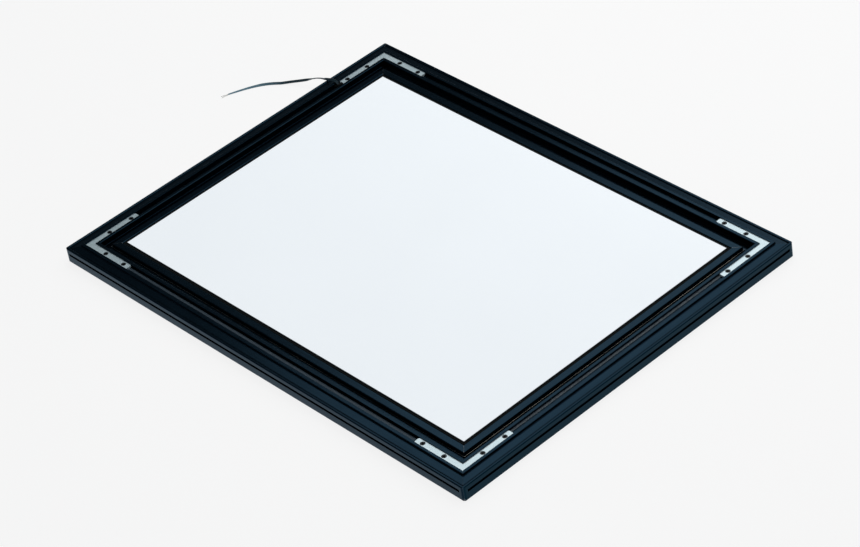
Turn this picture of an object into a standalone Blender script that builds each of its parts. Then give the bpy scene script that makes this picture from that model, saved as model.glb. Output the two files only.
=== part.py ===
"""Slim edge-lit light table: an opal panel in a mitred aluminium frame, held by corner brackets and grub screws.

Units are metres, +Z up. The origin is on the table, under the middle of the panel. X runs across the short side
and Y along the long side. Every frame section is drawn as (offset, height): the offset is measured outwards from
the visible panel's edge, and the height from the table.
"""

import math

import bmesh
import bpy
from mathutils import Matrix, Vector

MM = 0.001

# Driving dimensions
PANEL_WIDTH = 302 * MM
PANEL_LENGTH = 420 * MM
PANEL_TOP = 14.5 * MM
FRAME_OFFSET = 38.2 * MM
FRAME_TOP = 16.6 * MM
BEZEL_TOP = 14.4 * MM
FRAME_BOTTOM = 0.8 * MM
GAP = 0.3 * MM
MITRE_GAP = 0.2 * MM
CORNER_RADIUS = 3.0 * MM

# Bracket channel in the frame's top face
CHANNEL_IN = 19.0 * MM
CHANNEL_OUT = 25.1 * MM
CHANNEL_UNDERCUT = 0.9 * MM
CHANNEL_LIP = 0.5 * MM
CHANNEL_FLOOR = 13.7 * MM
CHANNEL_MIDDLE = (CHANNEL_IN + CHANNEL_OUT) / 2

# Horizontal groove around the frame's outer wall
GROOVE_MIDDLE = 9.2 * MM
GROOVE_HEIGHT = 2.6 * MM
GROOVE_DEPTH = 1.2 * MM
GROOVE_TO_CORNER = 4.8 * MM

# Corner brackets and their grub screws
BRACKET_ARM = 56.0 * MM
BRACKET_WIDTH = CHANNEL_OUT - CHANNEL_IN + 2 * (CHANNEL_UNDERCUT - GAP)
BRACKET_THICKNESS = 1.8 * MM
BRACKET_BOTTOM = CHANNEL_FLOOR + GAP
BRACKET_END_RADIUS = 2.4 * MM
SCREW_PLACES = (24.3 * MM, 48.4 * MM)
SCREW_HOLE_RADIUS = 2.3 * MM
SCREW_RADIUS = 2.0 * MM
SCREW_HEIGHT = 1.6 * MM
SOCKET_RADIUS = 1.15 * MM
SOCKET_DEPTH = 1.0 * MM

# Opal panel, with a rebate that the bezel holds down
REBATE_WIDTH = 5.0 * MM
REBATE_TOP = 13.1 * MM
PANEL_BOTTOM = 12.0 * MM

# Flat sheets under the panel: name, overhang past the visible panel, bottom, top
SHEETS = (
    ("diffuser_film", 2.0 * MM, 11.5 * MM, 11.7 * MM),
    ("light_guide", 2.2 * MM, 7.2 * MM, 11.2 * MM),
    ("reflector_sheet", 2.2 * MM, 6.7 * MM, 6.9 * MM),
    ("foam_pad", 2.2 * MM, 3.6 * MM, 6.4 * MM),
    ("back_cover", 4.9 * MM, 2.3 * MM, 3.3 * MM),
)

# LED strips along the two long edges of the light guide
BOARD_LENGTH = 416 * MM
BOARD_IN = 3.8 * MM
BOARD_OUT = 4.8 * MM
BOARD_BOTTOM = 6.2 * MM
BOARD_TOP = 11.4 * MM
LED_COUNT = 30
LED_PITCH = 13.6 * MM
LED_SIZE = (3.5 * MM, 1.2 * MM, 2.4 * MM)
LED_IN = 2.8 * MM
TAPE_IN = 5.05 * MM
TAPE_OUT = 5.35 * MM

# Wires inside the frame
WIRE_OFFSET = 4.0 * MM
LINK_RADIUS = 0.6 * MM
LINK_HEIGHTS = {"link_wire_positive": 6.8 * MM, "link_wire_negative": 10.5 * MM}
FEED_RADIUS = 0.9 * MM
FEED_HEIGHT = 8.5 * MM
FEED_X = 115.0 * MM
FEED_HOLE_RADIUS = 1.8 * MM

# Anti-slip pads
PAD_RADIUS = 6.0 * MM
PAD_HEIGHT = 1.0 * MM
PAD_RECESS = 0.5 * MM
PAD_OFFSET = 24.0 * MM
PAD_Y = 190 * MM

# Strain relief in the channel, and the lead that leaves it
CLAMP_LENGTH = 6.3 * MM
CLAMP_BASE_TOP = 15.0 * MM
CLAMP_BLOCK = (19.3 * MM, 21.6 * MM)
CLAMP_TOP = 17.3 * MM
LEAD_RADIUS = 0.6 * MM
LEAD_STEP = 2.6 * MM
LEAD_ROUTE = (
    (116.9, 231.9, 16.4),
    (117.0, 234.5, 17.4),
    (117.1, 238.1, 17.8),
    (116.9, 242.3, 17.2),
    (116.3, 246.7, 16.2),
    (115.9, 251.4, 15.0),
    (115.8, 256.2, 13.6),
    (115.1, 261.2, 12.0),
    (113.5, 266.0, 10.2),
    (111.6, 271.3, 8.1),
    (109.5, 277.1, 6.1),
    (107.2, 282.6, 4.4),
    (104.8, 287.8, 2.9),
    (101.6, 292.9, 1.7),
    (98.1, 297.5, 1.0),
    (93.8, 302.5, 0.7),
    (88.4, 307.6, 0.7),
    (82.2, 312.4, 0.7),
    (76.9, 315.5, 0.7),
    (70.8, 318.4, 0.7),
    (65.0, 320.8, 0.7),
    (58.7, 323.2, 0.7),
)
TIP_RADIUS = 0.3 * MM
TIP_SPACING = 0.9 * MM
TIP_LENGTH = 6.5 * MM
TIP_REST = 0.35 * MM

SIDES = {
    "front": (math.pi, (0, -PANEL_LENGTH / 2), PANEL_WIDTH / 2),
    "back": (0, (0, PANEL_LENGTH / 2), PANEL_WIDTH / 2),
    "left": (math.pi / 2, (-PANEL_WIDTH / 2, 0), PANEL_LENGTH / 2),
    "right": (-math.pi / 2, (PANEL_WIDTH / 2, 0), PANEL_LENGTH / 2),
}
CORNERS = {
    "front_left": (-1, -1),
    "front_right": (1, -1),
    "back_left": (-1, 1),
    "back_right": (1, 1),
}


def clear_scene():
    for obj in list(bpy.data.objects):
        bpy.data.objects.remove(obj, do_unlink=True)


def new_collection(name):
    collection = bpy.data.collections.new(name)
    bpy.context.scene.collection.children.link(collection)
    return collection


def material(name, colour, roughness, metallic=0.0):
    made = bpy.data.materials.new(name)
    made.use_nodes = True
    shader = made.node_tree.nodes["Principled BSDF"]
    shader.inputs["Base Color"].default_value = (*colour, 1)
    shader.inputs["Roughness"].default_value = roughness
    shader.inputs["Metallic"].default_value = metallic
    return made


def link(name, mesh, collection, finish=None):
    obj = bpy.data.objects.new(name, mesh)
    collection.objects.link(obj)
    if finish and not mesh.materials:
        mesh.materials.append(finish)
    return obj


def cutter(name, mesh):
    obj = link(name, mesh, cutters)
    obj.hide_render = True
    obj.display_type = "WIRE"
    return obj


def boolean(obj, operation, other):
    modifier = obj.modifiers.new(other.name, "BOOLEAN")
    modifier.operation = operation
    modifier.solver = "EXACT"
    modifier.object = other


def shade(mesh):
    mesh.shade_smooth()
    mesh.set_sharp_from_angle(angle=math.radians(35))


def rounded(points, steps=3):
    """The outline through (x, y, radius) points, with each corner turned into an arc of that radius."""
    outline = []
    for index, (x, y, radius) in enumerate(points):
        corner = Vector((x, y))
        before = Vector(points[index - 1][:2]) - corner
        after = Vector(points[(index + 1) % len(points)][:2]) - corner
        if radius == 0:
            outline.append(corner)
            continue
        turn = before.angle(after)
        reach = radius / math.tan(turn / 2)
        start = corner + before.normalized() * reach
        end = corner + after.normalized() * reach
        centre = corner + (before.normalized() + after.normalized()).normalized() * radius / math.sin(turn / 2)
        sweep = (start - centre).angle_signed(end - centre)
        for step in range(steps + 1):
            spoke = start - centre
            angle = -sweep * step / steps
            spoke.rotate(Matrix.Rotation(angle, 2))
            outline.append(centre + spoke)
    return outline


def circle(x, y, radius, segments):
    turns = [2 * math.pi * step / segments for step in range(segments)]
    return [Vector((x + radius * math.cos(turn), y + radius * math.sin(turn))) for turn in turns]


def mesh_of_curve(curve):
    """The curve's evaluated shape as a mesh, with its caps welded to its sides."""
    holder = bpy.data.objects.new("holder", curve)
    bpy.context.scene.collection.objects.link(holder)
    bpy.context.view_layer.update()
    evaluated = holder.evaluated_get(bpy.context.evaluated_depsgraph_get())
    mesh = bpy.data.meshes.new_from_object(evaluated)
    bpy.data.objects.remove(holder)
    work = bmesh.new()
    work.from_mesh(mesh)
    bmesh.ops.remove_doubles(work, verts=work.verts, dist=0.01 * MM)
    bmesh.ops.recalc_face_normals(work, faces=work.faces)
    work.to_mesh(mesh)
    work.free()
    return mesh


def plate(outlines, thickness):
    """A flat plate, centred on its thickness: the first outline is its edge, and the others are holes."""
    curve = bpy.data.curves.new("outline", "CURVE")
    curve.dimensions = "2D"
    curve.fill_mode = "BOTH"
    curve.extrude = thickness / 2
    for outline in outlines:
        spline = curve.splines.new("POLY")
        spline.points.add(len(outline) - 1)
        spline.use_cyclic_u = True
        for point, place in zip(spline.points, outline):
            point.co = (place.x, place.y, 0, 1)
    return mesh_of_curve(curve)


def mitred_length(outlines, half_length):
    """A section drawn as (offset, height), run along X and cut at 45 degrees at both ends."""
    mesh = plate(outlines, 1.0)
    for vertex in mesh.vertices:
        offset, height, along = vertex.co
        end = half_length + offset - MITRE_GAP / 2
        vertex.co = (math.copysign(end, along), offset, height)
    shade(mesh)
    return mesh


def place_on_side(obj, side):
    angle, (x, y), _ = SIDES[side]
    obj.rotation_euler = (0, 0, angle)
    obj.location = (x, y, 0)
    obj.parent = root


def box(size, centre):
    mesh = bpy.data.meshes.new("box")
    work = bmesh.new()
    bmesh.ops.create_cube(work, size=1)
    for vertex in work.verts:
        vertex.co = Vector(centre) + Vector([c * s for c, s in zip(vertex.co, size)])
    work.to_mesh(mesh)
    work.free()
    return mesh


def cylinder(radius, bottom, top, segments=32):
    mesh = bpy.data.meshes.new("cylinder")
    work = bmesh.new()
    bmesh.ops.create_cone(
        work, cap_ends=True, segments=segments, radius1=radius, radius2=radius, depth=top - bottom
    )
    bmesh.ops.translate(work, verts=work.verts, vec=(0, 0, (bottom + top) / 2))
    work.to_mesh(mesh)
    work.free()
    shade(mesh)
    return mesh


def smooth_points(route, step):
    """Points a step apart on a smooth curve (cubic Hermite, at even speed) through the route's own points."""
    places = [Vector(place) for place in route]
    lengths = [(b - a).length for a, b in zip(places, places[1:])]
    runs = [(b - a) / length for a, b, length in zip(places, places[1:], lengths)]
    slopes = [runs[0]]
    for before, after, run_in, run_out in zip(lengths, lengths[1:], runs, runs[1:]):
        slopes.append((run_out * before + run_in * after) / (before + after))
    slopes.append(runs[-1])
    kept = [places[0]]
    for index, length in enumerate(lengths):
        start, end = places[index], places[index + 1]
        leave, arrive = slopes[index] * length, slopes[index + 1] * length
        fine_steps = max(4, round(10 * length / step))
        for part in range(1, fine_steps + 1):
            t = part / fine_steps
            place = (
                start * (2 * t**3 - 3 * t**2 + 1)
                + leave * (t**3 - 2 * t**2 + t)
                + end * (3 * t**2 - 2 * t**3)
                + arrive * (t**3 - t**2)
            )
            if (place - kept[-1]).length >= step:
                kept.append(place)
    if (places[-1] - kept[-1]).length < step / 2 and len(kept) > 1:
        kept.pop()
    return [*kept, places[-1]]


def tube(name, route, radius, step, finish):
    curve = bpy.data.curves.new(name, "CURVE")
    curve.dimensions = "3D"
    curve.bevel_depth = radius
    curve.bevel_resolution = 2
    curve.use_fill_caps = True
    places = smooth_points(route, step)
    spline = curve.splines.new("POLY")
    spline.points.add(len(places) - 1)
    for point, place in zip(spline.points, places):
        point.co = (*place, 1)
    curve.materials.append(finish)
    obj = bpy.data.objects.new(name, curve)
    parts.objects.link(obj)
    obj.parent = root
    return obj


def frame_section():
    """The extrusion: flange under the stack, deep groove beside the bezel, raised rail with the bracket channel, flat
    band a step lower, narrow groove, and a rounded outer bead."""
    under_lip = FRAME_TOP - CHANNEL_LIP
    outline = (
        (FRAME_OFFSET, FRAME_BOTTOM, 0.5 * MM),
        (-5.0 * MM, FRAME_BOTTOM, 0),
        (-5.0 * MM, 2.0 * MM, 0.3 * MM),
        (5.6 * MM, 2.0 * MM, 0),
        (5.6 * MM, 13.1 * MM, 0.3 * MM),
        (7.2 * MM, 13.1 * MM, 0.3 * MM),
        (7.2 * MM, 12.5 * MM, 0),
        (6.6 * MM, 12.3 * MM, 0),
        (6.6 * MM, 11.3 * MM, 0),
        (7.2 * MM, 11.1 * MM, 0),
        (7.2 * MM, 10.8 * MM, 0),
        (16.0 * MM, 10.8 * MM, 0.3 * MM),
        (16.0 * MM, FRAME_TOP, 0.6 * MM),
        (CHANNEL_IN, FRAME_TOP, 0.15 * MM),
        (CHANNEL_IN, under_lip, 0),
        (CHANNEL_IN - CHANNEL_UNDERCUT, under_lip, 0),
        (CHANNEL_IN - CHANNEL_UNDERCUT, CHANNEL_FLOOR, 0),
        (CHANNEL_OUT + CHANNEL_UNDERCUT, CHANNEL_FLOOR, 0),
        (CHANNEL_OUT + CHANNEL_UNDERCUT, under_lip, 0),
        (CHANNEL_OUT, under_lip, 0),
        (CHANNEL_OUT, FRAME_TOP, 0.15 * MM),
        (27.8 * MM, FRAME_TOP, 0.5 * MM),
        (28.0 * MM, 14.5 * MM, 0.15 * MM),
        (34.9 * MM, 13.8 * MM, 0.15 * MM),
        (35.2 * MM, 12.9 * MM, 0),
        (35.4 * MM, 14.6 * MM, 1.2 * MM),
        (FRAME_OFFSET, 14.6 * MM, 0.9 * MM),
    )
    chamber = (
        (17.2 * MM, 2.2 * MM, 0.5 * MM),
        (36.4 * MM, 2.2 * MM, 0.5 * MM),
        (36.4 * MM, 11.4 * MM, 0.5 * MM),
        (17.2 * MM, 11.4 * MM, 0.5 * MM),
    )
    return [rounded(outline, steps=4), rounded(chamber, steps=2)]


def bezel_section():
    """The bezel: a plate over the panel's rebate, a leg with a barb that snaps into the frame, and a narrow foot."""
    under = REBATE_TOP + GAP
    return [
        rounded(
            (
                (2.4 * MM, under, 0),
                (7.6 * MM, under, 0),
                (7.6 * MM, 12.1 * MM, 0),
                (7.0 * MM, 11.9 * MM, 0),
                (7.6 * MM, 11.5 * MM, 0),
                (7.6 * MM, 11.1 * MM, 0),
                (10.1 * MM, 11.1 * MM, 0),
                (10.1 * MM, 11.6 * MM, 0.15 * MM),
                (9.1 * MM, 11.6 * MM, 0),
                (9.0 * MM, BEZEL_TOP, 0.8 * MM),
                (2.4 * MM, BEZEL_TOP, 0.6 * MM),
            )
        )
    ]


def gasket_section():
    under = REBATE_TOP + GAP
    return [
        rounded(
            (
                (0.3 * MM, under, 0),
                (2.1 * MM, under, 0),
                (2.1 * MM, 13.9 * MM, 0.2 * MM),
                (0.3 * MM, 13.9 * MM, 0.2 * MM),
            ),
            steps=2,
        )
    ]


def corner_rounding():
    """A block slightly wider than the frame, whose rounded corners trim the frame's own."""
    x = PANEL_WIDTH / 2 + FRAME_OFFSET + 0.02 * MM
    y = PANEL_LENGTH / 2 + FRAME_OFFSET + 0.02 * MM
    outline = [(sx * x, sy * y, CORNER_RADIUS) for sx, sy in ((-1, -1), (1, -1), (1, 1), (-1, 1))]
    mesh = plate([rounded(outline, steps=6)], 40 * MM)
    return cutter("corner_rounding", mesh)


def side_groove(side):
    half_length = SIDES[side][2] + FRAME_OFFSET - GROOVE_TO_CORNER
    width = 2 * MM
    centre = (0, FRAME_OFFSET - GROOVE_DEPTH + width / 2, GROOVE_MIDDLE)
    obj = cutter("groove_" + side, box((2 * half_length, width, GROOVE_HEIGHT), centre))
    place_on_side(obj, side)
    return obj


def pad_place(corner):
    x, y = CORNERS[corner]
    return x * (PANEL_WIDTH / 2 + PAD_OFFSET), y * PAD_Y


def pad_recess(corner):
    obj = cutter("recess_" + corner, cylinder(PAD_RADIUS + GAP, -MM, FRAME_BOTTOM + PAD_RECESS))
    obj.location = (*pad_place(corner), 0)
    return obj


def feed_holes():
    """A hole down through the channel's floor, and one from the hollow chamber to the space beside the stack."""
    down = cutter("feed_hole_down", cylinder(FEED_HOLE_RADIUS, 10.4 * MM, 14.2 * MM, 24))
    down.location = (FEED_X, PANEL_LENGTH / 2 + CHANNEL_MIDDLE, 0)
    across = cutter("feed_hole_across", cylinder(FEED_HOLE_RADIUS, 4.8 * MM, 18.2 * MM, 24))
    across.rotation_euler = (-math.pi / 2, 0, 0)
    across.location = (FEED_X, PANEL_LENGTH / 2, FEED_HEIGHT)
    return down, across


def make_frame():
    rounding = corner_rounding()
    for side, (_, _, half_length) in SIDES.items():
        mesh = mitred_length(frame_section(), half_length)
        obj = link("frame_" + side, mesh, parts, anodised)
        place_on_side(obj, side)
        boolean(obj, "INTERSECT", rounding)
        boolean(obj, "DIFFERENCE", side_groove(side))
    for corner in CORNERS:
        boolean(bpy.data.objects["frame_" + corner.split("_")[1]], "DIFFERENCE", pad_recess(corner))
    for hole in feed_holes():
        boolean(bpy.data.objects["frame_back"], "DIFFERENCE", hole)


def make_bezel_and_gasket():
    for side, (_, _, half_length) in SIDES.items():
        bezel = link("bezel_" + side, mitred_length(bezel_section(), half_length), parts, bezel_black)
        place_on_side(bezel, side)
        gasket = link("gasket_" + side, mitred_length(gasket_section(), half_length), parts, rubber)
        place_on_side(gasket, side)


def bracket_outline():
    """An L whose outer corner is at the origin, with its arms along -X and -Y."""
    arm = BRACKET_ARM
    width = BRACKET_WIDTH
    return rounded(
        (
            (0, 0, 0.5 * MM),
            (-arm, 0, BRACKET_END_RADIUS),
            (-arm, -width, BRACKET_END_RADIUS),
            (-width, -width, 0.5 * MM),
            (-width, -arm, BRACKET_END_RADIUS),
            (0, -arm, BRACKET_END_RADIUS),
        ),
        steps=4,
    )


def screw_places():
    """The grub screws' places on one bracket, from its outer corner."""
    hidden = CHANNEL_UNDERCUT - GAP
    middle = -BRACKET_WIDTH / 2
    for distance in SCREW_PLACES:
        yield -(distance + hidden), middle
        yield middle, -(distance + hidden)


def make_screw_mesh():
    body = cutter("screw_body", cylinder(SCREW_RADIUS, 0, SCREW_HEIGHT, 20))
    socket = cutter("screw_socket", cylinder(SOCKET_RADIUS, SCREW_HEIGHT - SOCKET_DEPTH, 2 * SCREW_HEIGHT, 6))
    boolean(body, "DIFFERENCE", socket)
    bpy.context.view_layer.update()
    mesh = bpy.data.meshes.new_from_object(body.evaluated_get(bpy.context.evaluated_depsgraph_get()))
    bpy.data.objects.remove(body)
    bpy.data.objects.remove(socket)
    shade(mesh)
    return mesh


def make_brackets_and_screws():
    holes = [circle(x, y, SCREW_HOLE_RADIUS, 20) for x, y in screw_places()]
    mesh = plate([bracket_outline(), *holes], BRACKET_THICKNESS)
    screw = make_screw_mesh()
    reach = CHANNEL_OUT + CHANNEL_UNDERCUT - GAP
    turns = {"back_right": 0, "back_left": 90, "front_left": 180, "front_right": 270}
    for corner, (x, y) in CORNERS.items():
        obj = link("corner_bracket_" + corner, mesh, parts, zinc)
        middle = BRACKET_BOTTOM + BRACKET_THICKNESS / 2
        obj.location = (x * (PANEL_WIDTH / 2 + reach), y * (PANEL_LENGTH / 2 + reach), middle)
        obj.rotation_euler = (0, 0, math.radians(turns[corner]))
        obj.parent = root
        for number, (along, across) in enumerate(screw_places(), 1):
            grub = link(f"grub_screw_{corner}_{number}", screw, parts, black_oxide)
            grub.location = (along, across, -BRACKET_THICKNESS / 2)
            grub.parent = obj


def make_panel():
    """The opal panel: a plate with a narrower raised middle, which leaves a rebate around it."""
    width = PANEL_WIDTH + 2 * REBATE_WIDTH
    length = PANEL_LENGTH + 2 * REBATE_WIDTH
    mesh = box((width, length, REBATE_TOP - PANEL_BOTTOM), (0, 0, (REBATE_TOP + PANEL_BOTTOM) / 2))
    work = bmesh.new()
    work.from_mesh(mesh)
    top = [face for face in work.faces if face.normal.z > 0.5]
    bmesh.ops.inset_region(work, faces=top, thickness=REBATE_WIDTH, use_even_offset=True)
    raised = bmesh.ops.extrude_discrete_faces(work, faces=top)["faces"]
    corners = {vertex for face in raised for vertex in face.verts}
    bmesh.ops.translate(work, verts=list(corners), vec=(0, 0, PANEL_TOP - REBATE_TOP))
    work.to_mesh(mesh)
    work.free()
    link("diffuser_panel", mesh, parts, opal).parent = root


def make_sheets():
    finishes = {
        "diffuser_film": film,
        "light_guide": acrylic,
        "reflector_sheet": reflector,
        "foam_pad": foam,
        "back_cover": plain_aluminium,
    }
    for name, overhang, bottom, top in SHEETS:
        size = (PANEL_WIDTH + 2 * overhang, PANEL_LENGTH + 2 * overhang, top - bottom)
        link(name, box(size, (0, 0, (bottom + top) / 2)), parts, finishes[name]).parent = root


def make_led_strips():
    height = BOARD_TOP - BOARD_BOTTOM
    middle = (BOARD_TOP + BOARD_BOTTOM) / 2
    for side in ("left", "right"):
        board = link(
            "led_strip_" + side,
            box(
                (BOARD_LENGTH, BOARD_OUT - BOARD_IN, height),
                (0, (BOARD_IN + BOARD_OUT) / 2, middle),
            ),
            parts,
            circuit_board,
        )
        place_on_side(board, side)
        start = -LED_PITCH * (LED_COUNT - 1) / 2
        chips = cutter("led_row_" + side, box(LED_SIZE, (start, LED_IN + LED_SIZE[1] / 2, middle)))
        place_on_side(chips, side)
        row = chips.modifiers.new("row", "ARRAY")
        row.count = LED_COUNT
        row.use_relative_offset = False
        row.use_constant_offset = True
        row.constant_offset_displace = (LED_PITCH, 0, 0)
        boolean(board, "UNION", chips)
        tape = link(
            "thermal_tape_" + side,
            box((BOARD_LENGTH, TAPE_OUT - TAPE_IN, height), (0, (TAPE_IN + TAPE_OUT) / 2, middle)),
            parts,
            tape_grey,
        )
        place_on_side(tape, side)


def make_wires():
    """Two links from one LED strip to the other behind the stack, and the feed from the strain relief."""
    end_x = PANEL_WIDTH / 2 + (BOARD_IN + BOARD_OUT) / 2
    end_y = BOARD_LENGTH / 2 + GAP
    y = PANEL_LENGTH / 2 + WIRE_OFFSET
    bend = 2.5 * MM
    corner = (
        (end_x, end_y),
        (end_x, end_y + bend),
        (end_x - 0.3 * bend, y - 0.3 * bend),
        (end_x - bend, y),
        (end_x - 2 * bend, y),
    )
    finishes = {"link_wire_positive": wire_red, "link_wire_negative": wire_black}
    for name, height in LINK_HEIGHTS.items():
        right = [(px, py, height) for px, py in corner]
        left = [(-px, py, pz) for px, py, pz in reversed(right)]
        tube(name, right + left, LINK_RADIUS, 2 * MM, finishes[name])
    across = PANEL_LENGTH / 2 + CHANNEL_MIDDLE
    feed = [
        (FEED_X, across, CHANNEL_FLOOR),
        (FEED_X, across, 10.8 * MM),
        (FEED_X, across - 1.2 * MM, FEED_HEIGHT + 0.7 * MM),
        (FEED_X, across - 3.2 * MM, FEED_HEIGHT),
        (FEED_X, across - 7.0 * MM, FEED_HEIGHT),
        (FEED_X, y + 3.5 * MM, FEED_HEIGHT),
        (FEED_X + 0.8 * MM, y + 1.0 * MM, FEED_HEIGHT),
        (FEED_X + 3.2 * MM, y, FEED_HEIGHT),
        (FEED_X + 8.0 * MM, y, FEED_HEIGHT),
    ]
    feed += [(px, py, FEED_HEIGHT) for px, py in reversed(corner)]
    tube("feed_wire", feed, FEED_RADIUS, 2 * MM, wire_black)


def make_pads():
    mesh = cylinder(PAD_RADIUS, 0, PAD_HEIGHT)
    for corner in CORNERS:
        pad = link("rubber_pad_" + corner, mesh, parts, rubber)
        pad.location = (*pad_place(corner), 0)
        pad.parent = root


def make_strain_relief():
    """A slider under the channel's lips, with a raised block that the lead comes out of."""
    bracket_end = PANEL_WIDTH / 2 + CHANNEL_OUT + CHANNEL_UNDERCUT - GAP - BRACKET_ARM
    x = bracket_end - GAP - CLAMP_LENGTH / 2
    base_bottom = CHANNEL_FLOOR + GAP
    base = box(
        (CLAMP_LENGTH, BRACKET_WIDTH, CLAMP_BASE_TOP - base_bottom),
        (x, PANEL_LENGTH / 2 + CHANNEL_MIDDLE, (CLAMP_BASE_TOP + base_bottom) / 2),
    )
    low, high = CLAMP_BLOCK
    block_bottom = CLAMP_BASE_TOP - 0.4 * MM
    block = cutter(
        "strain_relief_block",
        box(
            (CLAMP_LENGTH - 0.6 * MM, high - low, CLAMP_TOP - block_bottom),
            (x, PANEL_LENGTH / 2 + (low + high) / 2, (CLAMP_TOP + block_bottom) / 2),
        ),
    )
    obj = link("strain_relief", base, parts, rubber)
    obj.parent = root
    boolean(obj, "UNION", block)


def make_lead():
    """The flat twin lead as a plain tube, and the two tinned conductors at its end."""
    route = [(x * MM, y * MM, z * MM) for x, y, z in LEAD_ROUTE]
    tube("power_lead", route, LEAD_RADIUS, LEAD_STEP, wire_black)
    end = Vector(route[-1])
    along = (end - Vector(route[-2])).normalized()
    across = Vector((-along.y, along.x, 0))
    for name, sign in (("lead_end_positive", 1), ("lead_end_negative", -1)):
        start = end + along * GAP + across * sign * TIP_SPACING / 2
        middle = start + along * TIP_LENGTH / 2 + across * sign * 0.2 * MM
        tip = start + along * TIP_LENGTH + across * sign * 0.8 * MM
        middle.z = (start.z + TIP_REST) / 2
        tip.z = TIP_REST
        tube(name, (start, middle, tip), TIP_RADIUS, 1.2 * MM, tinned)


clear_scene()
parts = new_collection("light_table")
cutters = new_collection("cutters")
root = bpy.data.objects.new("light_table_origin", None)
parts.objects.link(root)

anodised = material("black_anodised_aluminium", (0.018, 0.024, 0.03), 0.38, 0.6)
bezel_black = material("bezel_black", (0.02, 0.026, 0.033), 0.36, 0.5)
zinc = material("zinc_plate", (0.78, 0.82, 0.84), 0.3, 1.0)
black_oxide = material("black_oxide_steel", (0.015, 0.016, 0.018), 0.4, 0.8)
opal = material("opal_acrylic", (0.9, 0.93, 0.95), 0.3)
film = material("diffuser_film", (0.92, 0.93, 0.94), 0.6)
acrylic = material("clear_acrylic", (0.85, 0.92, 0.95), 0.08)
reflector = material("white_reflector", (0.95, 0.95, 0.95), 0.5)
foam = material("grey_foam", (0.25, 0.25, 0.26), 0.95)
plain_aluminium = material("plain_aluminium", (0.75, 0.76, 0.77), 0.35, 1.0)
circuit_board = material("white_circuit_board", (0.88, 0.88, 0.84), 0.45)
tape_grey = material("thermal_tape", (0.5, 0.52, 0.54), 0.7)
rubber = material("black_rubber", (0.012, 0.013, 0.014), 0.7)
wire_black = material("black_wire", (0.015, 0.02, 0.025), 0.4)
wire_red = material("red_wire", (0.5, 0.03, 0.02), 0.4)
tinned = material("tinned_copper", (0.75, 0.74, 0.7), 0.25, 1.0)

make_frame()
make_bezel_and_gasket()
make_brackets_and_screws()
make_panel()
make_sheets()
make_led_strips()
make_wires()
make_pads()
make_strain_relief()
make_lead()
bpy.context.view_layer.update()
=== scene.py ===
import math

import bmesh
import bpy
from mathutils import Matrix, Vector


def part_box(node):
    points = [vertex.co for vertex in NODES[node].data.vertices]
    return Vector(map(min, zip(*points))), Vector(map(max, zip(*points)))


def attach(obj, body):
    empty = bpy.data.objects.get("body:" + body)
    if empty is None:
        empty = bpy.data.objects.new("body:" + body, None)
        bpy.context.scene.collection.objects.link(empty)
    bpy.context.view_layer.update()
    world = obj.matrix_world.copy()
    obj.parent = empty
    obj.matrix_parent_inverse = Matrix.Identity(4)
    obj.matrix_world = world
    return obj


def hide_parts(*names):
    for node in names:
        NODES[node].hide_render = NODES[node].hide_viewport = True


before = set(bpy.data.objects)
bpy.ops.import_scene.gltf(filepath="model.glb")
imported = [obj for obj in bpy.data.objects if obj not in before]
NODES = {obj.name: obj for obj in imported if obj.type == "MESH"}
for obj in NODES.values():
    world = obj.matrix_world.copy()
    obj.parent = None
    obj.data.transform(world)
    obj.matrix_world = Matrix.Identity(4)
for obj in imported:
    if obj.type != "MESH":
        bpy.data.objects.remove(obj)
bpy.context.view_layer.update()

MM = 0.001
# How far the opal panel reaches under the bezels, and half the size of the part of it that shows
REBATE_WIDTH = 5.0 * MM
HALF_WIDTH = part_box("diffuser_panel")[1].x - REBATE_WIDTH
HALF_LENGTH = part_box("diffuser_panel")[1].y - REBATE_WIDTH

# Camera: where it looks, from which side, how far off, its roll, and its lens and sensor in millimetres
LOOK_AT = (-22.2 * MM, -35.6 * MM, 15.3 * MM)
AZIMUTH = math.radians(-37.395)
ELEVATION = math.radians(37.601)
DISTANCE = 2.6457
ROLL = math.radians(-9.83)
LENS = 133.87
SENSOR = 36.0

# The lead: its section, half the arc of each round side, its clearance over the table, the spacing of its
# rings, and the points it passes through in millimetres, the same points as the CAD's
LEAD_WIDTH = 2.6 * MM
LEAD_THICKNESS = 1.0 * MM
LEAD_ARC = 128
LEAD_CLEARANCE = 0.1 * MM
LEAD_STEP = 1.0 * MM
LEAD_ROUTE_MM = (
    (116.9, 231.9, 16.4),
    (117.0, 234.5, 17.4),
    (117.1, 238.1, 17.8),
    (116.9, 242.3, 17.2),
    (116.3, 246.7, 16.2),
    (115.9, 251.4, 15.0),
    (115.8, 256.2, 13.6),
    (115.1, 261.2, 12.0),
    (113.5, 266.0, 10.2),
    (111.6, 271.3, 8.1),
    (109.5, 277.1, 6.1),
    (107.2, 282.6, 4.4),
    (104.8, 287.8, 2.9),
    (101.6, 292.9, 1.7),
    (98.1, 297.5, 1.0),
    (93.8, 302.5, 0.7),
    (88.4, 307.6, 0.7),
    (82.2, 312.4, 0.7),
    (76.9, 315.5, 0.7),
    (70.8, 318.4, 0.7),
    (65.0, 320.8, 0.7),
    (58.7, 323.2, 0.7),
)
# The lead's turn about its own line: share of its length, degrees from lying flat
LEAD_TURNS = (
    (0.0, 0),
    (0.08, 38),
    (0.13, 24),
    (0.20, -24),
    (0.28, -30),
    (0.38, 46),
    (0.70, 52),
    (0.80, 12),
    (0.90, -8),
    (1.0, -24),
)
# The stretches along Y where the lead's matt start turns glossy, and where painted sheen turns it paler
LEAD_GLOSSY = (242 * MM, 254 * MM)
LEAD_PALER = (286 * MM, 318 * MM)


# ---------------------------------------------------------------- camera and lead

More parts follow.
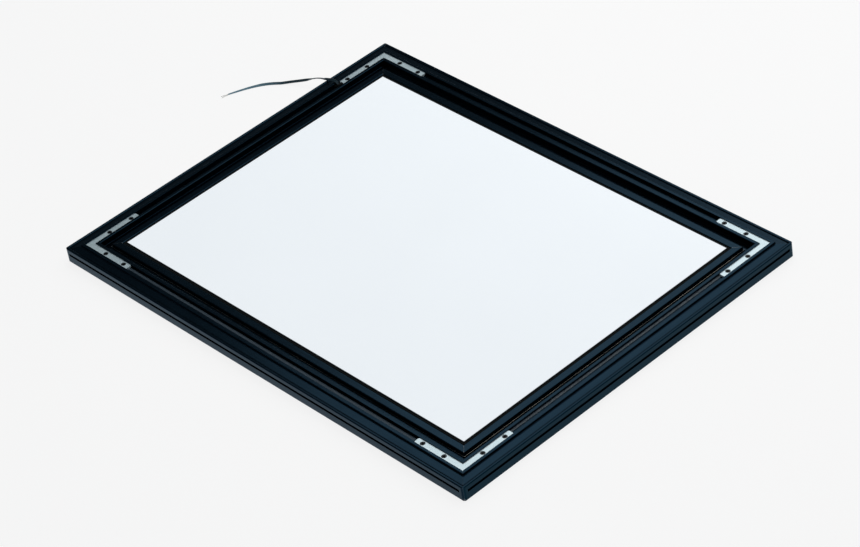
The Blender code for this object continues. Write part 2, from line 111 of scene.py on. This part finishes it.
def make_camera():
    back = Vector(
        (
            math.sin(AZIMUTH) * math.cos(ELEVATION),
            -math.cos(AZIMUTH) * math.cos(ELEVATION),
            math.sin(ELEVATION),
        )
    )
    right = Vector((math.cos(AZIMUTH), math.sin(AZIMUTH), 0))
    turn = Matrix.Rotation(ROLL, 3, back)
    right = turn @ right
    up = back.cross(right)
    camera = bpy.data.objects.new("camera", bpy.data.cameras.new("camera"))
    camera.data.lens = LENS
    camera.data.sensor_width = SENSOR
    camera.data.sensor_fit = "HORIZONTAL"
    camera.data.clip_end = 50
    place = Vector(LOOK_AT) + back * DISTANCE
    camera.matrix_world = Matrix.Translation(place) @ Matrix((right, up, back)).transposed().to_4x4()
    bpy.context.scene.collection.objects.link(camera)
    bpy.context.scene.camera = camera


def smooth_points(route, step):
    """Points about a step apart on a smooth curve (cubic Hermite, at even speed) through the route."""
    places = [Vector(place) for place in route]
    lengths = [(b - a).length for a, b in zip(places, places[1:])]
    runs = [(b - a) / length for a, b, length in zip(places, places[1:], lengths)]
    slopes = [runs[0]]
    for before, after, run_in, run_out in zip(lengths, lengths[1:], runs, runs[1:]):
        slopes.append((run_out * before + run_in * after) / (before + after))
    slopes.append(runs[-1])
    fine = [places[0]]
    for index, length in enumerate(lengths):
        start, end = places[index], places[index + 1]
        leave, arrive = slopes[index] * length, slopes[index + 1] * length
        parts = max(2, round(length / step))
        for part in range(1, parts + 1):
            t = part / parts
            fine.append(
                start * (2 * t**3 - 3 * t**2 + 1)
                + leave * (t**3 - 2 * t**2 + t)
                + end * (3 * t**2 - 2 * t**3)
                + arrive * (t**3 - t**2)
            )
    return fine


def lead_turn(share):
    """The lead's turn in radians at a share of its length, eased between the given turns."""
    for (start, first), (end, second) in zip(LEAD_TURNS, LEAD_TURNS[1:]):
        if share <= end:
            t = (share - start) / (end - start)
            return math.radians(first + (second - first) * t * t * (3 - 2 * t))
    return math.radians(LEAD_TURNS[-1][1])


def lead_ring(segments=14):
    """The lead's section: two round conductors side by side, joined by a thin web."""
    radius = LEAD_THICKNESS / 2
    offset = (LEAD_WIDTH - LEAD_THICKNESS) / 2
    ring = []
    for side in (1, -1):
        for step in range(segments + 1):
            angle = math.radians(-LEAD_ARC + 2 * LEAD_ARC * step / segments)
            ring.append((side * (offset + radius * math.cos(angle)), side * radius * math.sin(angle)))
    return ring


def make_lead():
    """The flat twin lead, swept along its smoothed route and kept just clear of the table."""
    path = smooth_points([Vector(place) * MM for place in LEAD_ROUTE_MM], LEAD_STEP)
    section = lead_ring()
    mesh = bpy.data.meshes.new("power_lead_flat")
    work = bmesh.new()
    rings = []
    for index, place in enumerate(path):
        along = (path[min(index + 1, len(path) - 1)] - path[max(index - 1, 0)]).normalized()
        across = along.cross(Vector((0, 0, 1))).normalized()
        over = across.cross(along)
        turn = lead_turn(index / (len(path) - 1))
        wide = across * math.cos(turn) + over * math.sin(turn)
        thin = along.cross(wide)
        reach = abs(wide.z) * (LEAD_WIDTH - LEAD_THICKNESS) / 2 + LEAD_THICKNESS / 2
        centre = Vector((place.x, place.y, max(place.z, reach + LEAD_CLEARANCE)))
        rings.append([work.verts.new(centre + wide * u + thin * v) for u, v in section])
    count = len(section)
    for first, second in zip(rings, rings[1:]):
        for step in range(count):
            after = (step + 1) % count
            work.faces.new((first[step], first[after], second[after], second[step]))
    work.faces.new(list(reversed(rings[0])))
    work.faces.new(rings[-1])
    bmesh.ops.recalc_face_normals(work, faces=work.faces)
    work.to_mesh(mesh)
    work.free()
    mesh.shade_smooth()
    mesh.set_sharp_from_angle(angle=math.radians(50))
    lead = bpy.data.objects.new("power_lead_flat", mesh)
    bpy.context.scene.collection.objects.link(lead)
    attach(lead, "root")
    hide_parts("power_lead")
    return lead


# ---------------------------------------------------------------- node helpers

class Shader:
    """One material's node tree, with short calls for the nodes that the finishes share."""

    def __init__(self, name):
        self.material = bpy.data.materials.new(name)
        self.material.use_nodes = True
        self.tree = self.material.node_tree
        self.surface = self.tree.nodes["Principled BSDF"]
        self.place = self.add("ShaderNodeTexCoord").outputs["Object"]

    def add(self, kind, **settings):
        node = self.tree.nodes.new(kind)
        for key, value in settings.items():
            setattr(node, key, value)
        return node

    def feed(self, socket, value):
        if isinstance(value, bpy.types.NodeSocket):
            self.tree.links.new(value, socket)
        elif hasattr(value, "__len__") and socket.type == "RGBA" and len(value) == 3:
            socket.default_value = (*value, 1)
        else:
            socket.default_value = value

    def set(self, **inputs):
        for key, value in inputs.items():
            self.feed(self.surface.inputs[key.replace("_", " ")], value)

    def maths(self, operation, a, b=0.0):
        node = self.add("ShaderNodeMath", operation=operation)
        self.feed(node.inputs[0], a)
        self.feed(node.inputs[1], b)
        return node.outputs[0]

    def noise(self, scale, stretch=(1, 1, 1), detail=3.0, rough=0.55):
        """Noise with about `scale` features a metre, stretched by its three factors."""
        mapping = self.add("ShaderNodeMapping")
        self.feed(mapping.inputs["Vector"], self.place)
        mapping.inputs["Scale"].default_value = [scale * factor for factor in stretch]
        noise = self.add("ShaderNodeTexNoise")
        self.feed(noise.inputs["Vector"], mapping.outputs["Vector"])
        noise.inputs["Scale"].default_value = 1.0
        noise.inputs["Detail"].default_value = detail
        noise.inputs["Roughness"].default_value = rough
        return noise.outputs["Fac"]

    def spread(self, value, low, high, start=0.0, end=1.0):
        """From low where the value is start to high where it is end, in a straight line."""
        node = self.add("ShaderNodeMapRange")
        for socket, given in zip(node.inputs, (value, start, end, low, high)):
            self.feed(socket, given)
        return node.outputs["Result"]

    def step(self, value, start, end):
        """0 at start, 1 at end, smooth between them."""
        node = self.add("ShaderNodeMapRange", interpolation_type="SMOOTHSTEP")
        for socket, given in zip(node.inputs, (value, start, end, 0.0, 1.0)):
            self.feed(socket, given)
        return node.outputs["Result"]

    def mix(self, share, a, b):
        """Colour a where the share is 0, b where it is 1."""
        node = self.add("ShaderNodeMix", data_type="RGBA")
        self.feed(node.inputs["Factor"], share)
        self.feed(node.inputs[6], a)
        self.feed(node.inputs[7], b)
        return node.outputs[2]

    def axes(self):
        node = self.add("ShaderNodeSeparateXYZ")
        self.feed(node.inputs[0], self.place)
        return node.outputs

    def bump(self, height, distance, strength):
        node = self.add("ShaderNodeBump")
        self.feed(node.inputs["Height"], height)
        node.inputs["Distance"].default_value = distance
        node.inputs["Strength"].default_value = strength
        self.feed(self.surface.inputs["Normal"], node.outputs["Normal"])


# ---------------------------------------------------------------- finishes

# Finishes of the extrusions that run along X (front, back) and along Y (left, right), with painted shade
# on their walls
LINES_ALONG = {"x": (0.02, 1, 1), "y": (1, 0.02, 1)}
COAT = ((0.009, 0.023, 0.038), (0.012, 0.030, 0.048))
# The outer walls' darker coat is painted shade, darker still along Y (left, right)
WALL_SHADED_COAT = {"x": (0.002, 0.0155, 0.027), "y": (0.001, 0.0095, 0.020)}
# A bright stripe on the channel floor that is painted highlight, lighter along X (front, back)
CHANNEL_HIGHLIGHT_COLOUR = {"x": (0.38, 0.43, 0.47), "y": (0.10, 0.13, 0.16)}
# Distances outside the visible panel's edge
PACKAGES_END = 3.5 * MM
BOARD_STARTS = 3.7 * MM
FOOT_EDGE = 10.1 * MM
CHANNEL_HIGHLIGHT_MIDDLE = {"x": 19.3 * MM, "y": 21.2 * MM}
WALL_STARTS = 37.2 * MM
# Distances inside the visible panel's edge, between which its rim, painted dark as the seal's shade, gives
# way to lit opal
RIM_ENDS = 0.35 * MM
LIT_STARTS = 0.75 * MM
# Heights of the bezel's foot and of the bracket channel's floor
FOOT_TOP = 11.6 * MM
CHANNEL_FLOOR = 13.7 * MM
# The light guide's printed dots
DOTS_A_METRE = 400


def offsets(shader):
    """How far outside the visible panel a point lies across X and across Y, and its height."""
    x, y, z = shader.axes()
    over_x = shader.maths("SUBTRACT", shader.maths("ABSOLUTE", x), HALF_WIDTH)
    over_y = shader.maths("SUBTRACT", shader.maths("ABSOLUTE", y), HALF_LENGTH)
    return over_x, over_y, z


def near_value(shader, value, middle, full, none):
    """1 within `full` of the middle value, falling to 0 at `none` from it."""
    away = shader.maths("ABSOLUTE", shader.maths("SUBTRACT", value, middle))
    return shader.step(away, none, full)


def anodised(name, along, bezel=False):
    """Black anodised extrusion: faint blue-black die lines, lighter mitres (sawn metal and a painted
    glint), painted shade on the walls, and a painted highlight either along the bezel's foot or along the
    channel's floor."""
    shader = Shader(name)
    over_x, over_y, z = offsets(shader)
    outside = shader.maths("MAXIMUM", over_x, over_y)
    streaks = shader.noise(900, LINES_ALONG[along], detail=4.0)
    lines = shader.noise(5200, LINES_ALONG[along], detail=2.0)
    cloud = shader.noise(28, detail=2.0)
    grit = shader.noise(1900, detail=2.0, rough=0.7)

    coat = shader.mix(shader.spread(streaks, 0.0, 1.0, 0.3, 0.7), *COAT)
    wall = shader.step(outside, WALL_STARTS, WALL_STARTS + 0.8 * MM)
    # Painted shade: the outer walls take the darker coat, darker on the left and right
    coat = shader.mix(wall, coat, WALL_SHADED_COAT[along])
    # Lighter mitre lines: bare sawn metal, with a painted glint on top
    mitre_line = near_value(shader, shader.maths("SUBTRACT", over_x, over_y), 0.0, 0.12 * MM, 0.40 * MM)
    patchy = shader.spread(shader.noise(420, detail=2.0), 0.1, 1.0, 0.38, 0.65)
    mitre_line = shader.maths("MULTIPLY", mitre_line, patchy)
    mitre_metal_and_glint = (0.30, 0.33, 0.34) if bezel else (0.045, 0.065, 0.085)
    colour = shader.mix(mitre_line, coat, mitre_metal_and_glint)
    if bezel:
        # Painted highlight: a pale beige line along the bezel foot's edge, fainter on the left
        painted_highlight = near_value(shader, outside, FOOT_EDGE, 0.10 * MM, 0.30 * MM)
        painted_highlight = shader.maths("MULTIPLY", painted_highlight, shader.step(z, FOOT_TOP + 0.3 * MM, FOOT_TOP + 0.1 * MM))
        painted_highlight = shader.maths("MULTIPLY", painted_highlight, shader.spread(cloud, 0.4, 1.0, 0.4, 0.6))
        if along == "y":  # fainter on the left
            painted_highlight = shader.maths("MULTIPLY", painted_highlight, shader.spread(shader.axes()[0], 0.3, 1.0, -0.1, 0.1))
        colour = shader.mix(painted_highlight, colour, (0.42, 0.39, 0.33))
    else:
        # Painted highlight: a bright gritty stripe along the channel's floor
        painted_highlight = shader.maths(
            "MULTIPLY",
            near_value(shader, z, CHANNEL_FLOOR, 0.08 * MM, 0.16 * MM),
            near_value(shader, outside, CHANNEL_HIGHLIGHT_MIDDLE[along], 0.5 * MM, 1.9 * MM),
        )
        if along == "y":  # on the left only
            painted_highlight = shader.maths("MULTIPLY", painted_highlight, shader.step(shader.axes()[0], 0.0, -0.1))
        gritty = shader.spread(grit, 0.0, 1.0, 0.4, 0.62)
        channel_highlight = shader.mix(gritty, (0.022, 0.040, 0.058), CHANNEL_HIGHLIGHT_COLOUR[along])
        colour = shader.mix(painted_highlight, colour, channel_highlight)
    finish = shader.maths(
        "ADD",
        shader.spread(streaks, 0.18, 0.26),
        shader.spread(cloud, -0.02, 0.02, 0.3, 0.7),
    )
    shader.set(
        Base_Color=colour,
        Metallic=shader.spread(painted_highlight, 1.0, 0.2),
        Roughness=shader.maths("ADD", finish, shader.maths("MULTIPLY", painted_highlight, 0.25)),
        Specular_Tint=(0.86, 0.94, 1.0),
        Specular_IOR_Level=0.3,
    )
    shader.bump(lines, 0.004 * MM, 0.5)
    return shader.material


def zinc_plate():
    """Bright, faintly blue zinc on the brackets, cloudy, with a fine grain."""
    shader = Shader("bright_zinc_plate")
    grain = shader.noise(1500, detail=4.0)
    cloud = shader.noise(60, detail=3.0)
    cloudy = shader.spread(cloud, 0, 1, 0.35, 0.65)
    shader.set(
        Base_Color=shader.mix(cloudy, (0.74, 0.90, 0.96), (0.80, 0.95, 1.0)),
        Metallic=0.6,
        Roughness=shader.maths("ADD", shader.spread(grain, 0.28, 0.36), shader.spread(cloud, -0.03, 0.03)),
    )
    shader.bump(grain, 0.006 * MM, 0.5)
    return shader.material


def black_oxide():
    """Black oxide steel of the grub screws."""
    shader = Shader("black_oxide_steel")
    grain = shader.noise(2600, detail=3.0)
    shader.set(
        Base_Color=shader.mix(grain, (0.006, 0.007, 0.009), (0.02, 0.021, 0.024)),
        Metallic=0.4,
        Roughness=shader.spread(grain, 0.28, 0.45),
    )
    shader.bump(grain, 0.015 * MM, 0.5)
    return shader.material


def lit_opal():
    """Opal acrylic lit from its long edges: a trace brighter there, painted dark at its own rim as shade,
    satin.
    """
    shader = Shader("lit_opal_acrylic")
    x, _, _ = shader.axes()
    over_x, over_y, _ = offsets(shader)
    inner = shader.step(shader.maths("MAXIMUM", over_x, over_y), -RIM_ENDS, -LIT_STARTS)
    to_edge = shader.spread(shader.maths("ABSOLUTE", x), 0.0, 1.0, 0.0, HALF_WIDTH)
    glow = shader.spread(shader.maths("POWER", to_edge, 3.0), 0.985, 1.0)
    cloud = shader.spread(shader.noise(9, detail=2.0), 0.99, 1.01, 0.3, 0.7)
    grain = shader.noise(3000, detail=3.0)
    evenness = shader.maths("MULTIPLY", glow, cloud)
    light = shader.maths("MULTIPLY", evenness, shader.spread(inner, 0.0, 0.58))
    shader.set(
        # The near-black rim colour is painted shade of the seal
        Base_Color=shader.mix(inner, (0.03, 0.035, 0.04), (0.50, 0.53, 0.555)),
        Roughness=shader.spread(grain, 0.38, 0.50),
        Specular_IOR_Level=0.15,
        Emission_Color=(0.915, 0.952, 0.985),
        Emission_Strength=light,
    )
    shader.bump(grain, 0.004 * MM, 0.4)
    return shader.material


def plain(name, first, second, rough, scale, metallic=0.0, depth=0.01 * MM, stretch=(1, 1, 1), **more):
    """A finish of two close colours in a fine noise, with roughness and bump from the same noise."""
    shader = Shader(name)
    grain = shader.noise(scale, stretch, detail=4.0)
    shader.set(
        Base_Color=shader.mix(shader.spread(grain, 0, 1, 0.3, 0.7), first, second),
        Metallic=metallic,
        Roughness=shader.spread(grain, rough - 0.06, rough + 0.06),
        **more,
    )
    shader.bump(grain, depth, 0.5)
    return shader.material


def lead_insulation():
    """Black sheath with a blue cast: matt at the strain relief, paler over the last part of the lead as
    painted sheen.
    """
    shader = Shader("lead_insulation")
    grain = shader.noise(1800, detail=3.0)
    _, y, _ = shader.axes()
    paler = shader.step(y, *LEAD_PALER)
    sheath = shader.mix(grain, (0.010, 0.020, 0.027), (0.018, 0.034, 0.044))
    shader.set(
        # The pale blue-grey toward the lead's end is painted sheen
        Base_Color=shader.mix(paler, sheath, (0.12, 0.22, 0.28)),
        Roughness=shader.spread(grain, 0.24, 0.34),
        Specular_IOR_Level=shader.spread(shader.step(y, *LEAD_GLOSSY), 0.08, 0.5),
        Specular_Tint=(0.7, 0.9, 1.0),
    )
    shader.bump(grain, 0.01 * MM, 0.4)
    return shader.material


def clear_acrylic():
    """The light guide: clear acrylic with a grid of printed white dots that bring the light out."""
    shader = Shader("light_guide_acrylic")
    mapping = shader.add("ShaderNodeMapping")
    shader.feed(mapping.inputs["Vector"], shader.place)
    mapping.inputs["Scale"].default_value = (DOTS_A_METRE, DOTS_A_METRE, 0)
    dots = shader.add("ShaderNodeTexVoronoi", feature="F1")
    shader.feed(dots.inputs["Vector"], mapping.outputs["Vector"])
    dots.inputs["Scale"].default_value = 1.0
    dots.inputs["Randomness"].default_value = 0.0
    printed = shader.step(dots.outputs["Distance"], 0.34, 0.26)
    shader.set(
        Base_Color=shader.mix(printed, (0.80, 0.90, 0.93), (0.95, 0.96, 0.97)),
        Roughness=shader.spread(printed, 0.05, 0.6),
        Transmission_Weight=shader.spread(printed, 0.9, 0.1),
    )
    return shader.material


def led_board():
    """White circuit board whose inward face carries pale yellow LED packages."""
    shader = Shader("led_board")
    x, _, _ = shader.axes()
    out = shader.maths("ABSOLUTE", x)
    inward = shader.step(out, HALF_WIDTH + BOARD_STARTS, HALF_WIDTH + PACKAGES_END)
    grain = shader.noise(900, detail=3.0)
    board = shader.mix(grain, (0.80, 0.80, 0.76), (0.90, 0.90, 0.87))
    shader.set(
        Base_Color=shader.mix(inward, board, (0.88, 0.78, 0.30)),
        Roughness=shader.spread(grain, 0.35, 0.5),
    )
    shader.bump(grain, 0.01 * MM, 0.4)
    return shader.material


def finish_cad_nodes():
    """Gives every CAD node the finish whose key its name starts with, or the one that `same` gives."""
    finishes = {
        "frame_front": anodised("anodised_along_x", "x"),
        "frame_left": anodised("anodised_along_y", "y"),
        "bezel_front": anodised("bezel_along_x", "x", bezel=True),
        "bezel_left": anodised("bezel_along_y", "y", bezel=True),
        "corner_bracket": zinc_plate(),
        "grub_screw": black_oxide(),
        "diffuser_panel": lit_opal(),
        "diffuser_film": plain("diffuser_film", (0.88, 0.89, 0.90), (0.94, 0.95, 0.96), 0.62, 2500),
        "light_guide": clear_acrylic(),
        "reflector_sheet": plain("white_reflector", (0.91, 0.91, 0.91), (0.96, 0.96, 0.96), 0.5, 1800),
        "foam_pad": plain(
            "grey_foam", (0.16, 0.16, 0.17), (0.30, 0.30, 0.31), 0.9, 1400, depth=0.15 * MM
        ),
        "back_cover": plain(
            "mill_aluminium",
            (0.56, 0.57, 0.58),
            (0.68, 0.69, 0.70),
            0.34,
            1600,
            metallic=1.0,
            depth=0.008 * MM,
            stretch=(1, 0.02, 1),
        ),
        "led_strip": led_board(),
        "thermal_tape": plain("thermal_tape", (0.40, 0.42, 0.44), (0.55, 0.57, 0.59), 0.7, 1500),
        "rubber": plain(
            "black_rubber", (0.010, 0.011, 0.012), (0.022, 0.023, 0.025), 0.62, 1300, depth=0.03 * MM
        ),
        "gasket": plain(
            "seal_rubber", (0.002, 0.003, 0.003), (0.004, 0.005, 0.005), 0.8, 1300, Specular_IOR_Level=0.15
        ),
        "black_wire": lead_insulation(),
        "link_wire_positive": plain("red_insulation", (0.42, 0.02, 0.015), (0.55, 0.04, 0.03), 0.35, 1500),
        "lead_end": plain(
            "tinned_copper",
            (0.62, 0.62, 0.60),
            (0.84, 0.83, 0.79),
            0.28,
            2600,
            metallic=1.0,
            depth=0.05 * MM,
        ),
    }
    same = {
        "frame_back": "frame_front",
        "frame_right": "frame_left",
        "bezel_back": "bezel_front",
        "bezel_right": "bezel_left",
        "strain_relief": "gasket",
        "feed_wire": "black_wire",
        "link_wire_negative": "black_wire",
        "power_lead": "black_wire",
    }
    for name, node in NODES.items():
        key = same.get(name) or next(word for word in finishes if name.startswith(word))
        node.data.materials.clear()
        node.data.materials.append(finishes[key])
    return finishes


# ---------------------------------------------------------------- floor, world and lights

FLOOR_SIZE = 14
FLOOR_GLOW = 0.835
# The room's brightness near the horizon and overhead: how high the view points (0 level, 1 up), strength
HORIZON = (0.02, 0.8)
OVERHEAD = (0.35, 0.10)


def make_floor():
    """The table: matt and pale, with a glow of its own that keeps it even."""
    bpy.ops.mesh.primitive_plane_add(size=FLOOR_SIZE, location=(0, 0, 0))
    floor = bpy.context.active_object
    floor.name = "floor"
    shader = Shader("pale_floor")
    cloud = shader.noise(3, detail=2.0)
    shader.set(
        Base_Color=shader.mix(cloud, (0.149, 0.149, 0.149), (0.151, 0.151, 0.151)),
        Roughness=0.9,
        Specular_IOR_Level=0.0,
        Emission_Color=(1.0, 1.0, 1.0),
        Emission_Strength=FLOOR_GLOW,
    )
    floor.data.materials.append(shader.material)


def make_world():
    """A dim, even room behind the lights, brighter towards the horizon."""
    world = bpy.data.worlds.new("studio")
    bpy.context.scene.world = world
    world.use_nodes = True
    tree = world.node_tree
    background = tree.nodes["Background"]
    place = tree.nodes.new("ShaderNodeTexCoord")
    axes = tree.nodes.new("ShaderNodeSeparateXYZ")
    ramp = tree.nodes.new("ShaderNodeMapRange")
    ramp.interpolation_type = "SMOOTHSTEP"
    tree.links.new(place.outputs["Generated"], axes.inputs[0])
    tree.links.new(axes.outputs[2], ramp.inputs[0])
    for socket, given in zip(ramp.inputs[1:5], (HORIZON[0], OVERHEAD[0], HORIZON[1], OVERHEAD[1])):
        socket.default_value = given
    tree.links.new(ramp.outputs[0], background.inputs["Strength"])
    background.inputs["Color"].default_value = (0.82, 0.94, 1.0, 1)


def make_light(name, place, turn, size, radiance, seen_in_gloss):
    """A square softbox that faces straight down; its power follows from its size and radiance."""
    data = bpy.data.lights.new(name, "AREA")
    data.shape = "SQUARE"
    data.size = size
    data.energy = radiance * math.pi * size**2
    light = bpy.data.objects.new(name, data)
    light.location = place
    light.rotation_euler = (0, 0, math.radians(turn))
    light.visible_glossy = seen_in_gloss
    light.visible_camera = False
    bpy.context.scene.collection.objects.link(light)


make_camera()
lead = make_lead()
finishes = finish_cad_nodes()
lead.data.materials.append(finishes["black_wire"])
make_floor()
make_world()
make_light("softbox", place=(0.947, 0.133, 1.0), turn=5, size=1.6, radiance=1.15, seen_in_gloss=True)
make_light("fill", place=(-0.3, -0.4, 2.2), turn=0, size=2.4, radiance=1.0, seen_in_gloss=False)
bpy.context.scene.view_settings.view_transform = "Standard"
